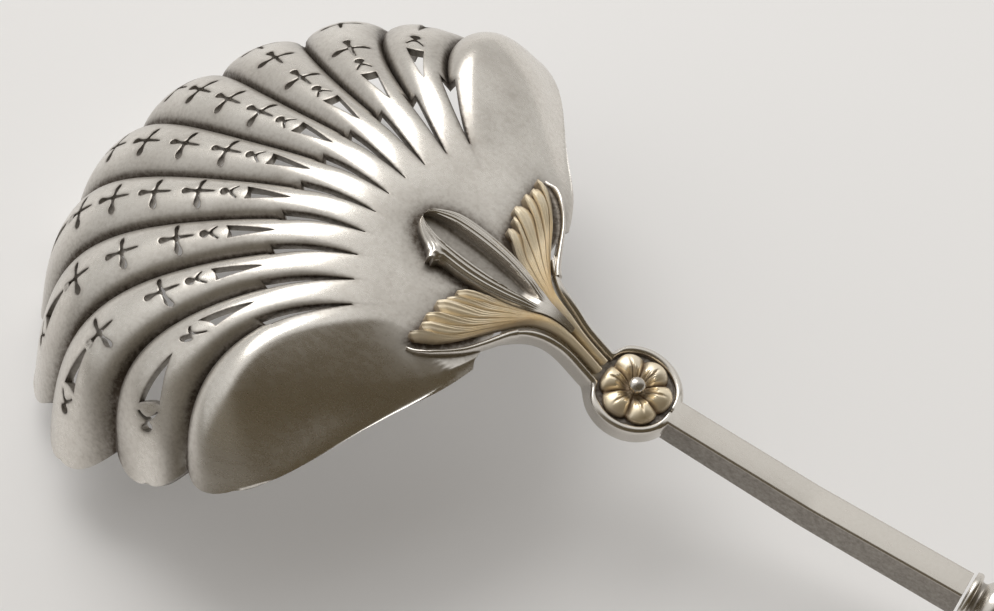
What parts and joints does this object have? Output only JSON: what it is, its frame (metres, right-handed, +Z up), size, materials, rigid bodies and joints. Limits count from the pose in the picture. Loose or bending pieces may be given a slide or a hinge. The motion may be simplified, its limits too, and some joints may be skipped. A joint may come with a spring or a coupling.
{
  "type": "sugar sifter spoon",
  "caption": "Sugar sifter spoon with a fluted, pierced shell bowl, a gilt palmette and rosette on the arched neck and a straight bar handle, lying face down.",
  "frame": {"origin": "middle of the bounding box, at the table under the spoon", "axes": "+X from the bowl tip to the handle end, +Y to the far side, +Z up through the rounded back of the bowl"},
  "size_m": [0.1586, 0.0644, 0.0292],
  "materials": {
    "silver": "satin silver with dark patina in the hollows",
    "gilt": "worn pale gilding"
  },
  "bodies": {
    "root": {"bowl": "silver", "neck_shank": "silver", "leaf_far": "gilt", "leaf_near": "gilt", "bud": "silver", "wing_border_far": "silver", "wing_border_near": "silver", "rosette": "gilt", "rosette_pin": "silver", "knop": "silver", "grip": "silver", "terminal": "silver"}
  },
  "joints": []
}
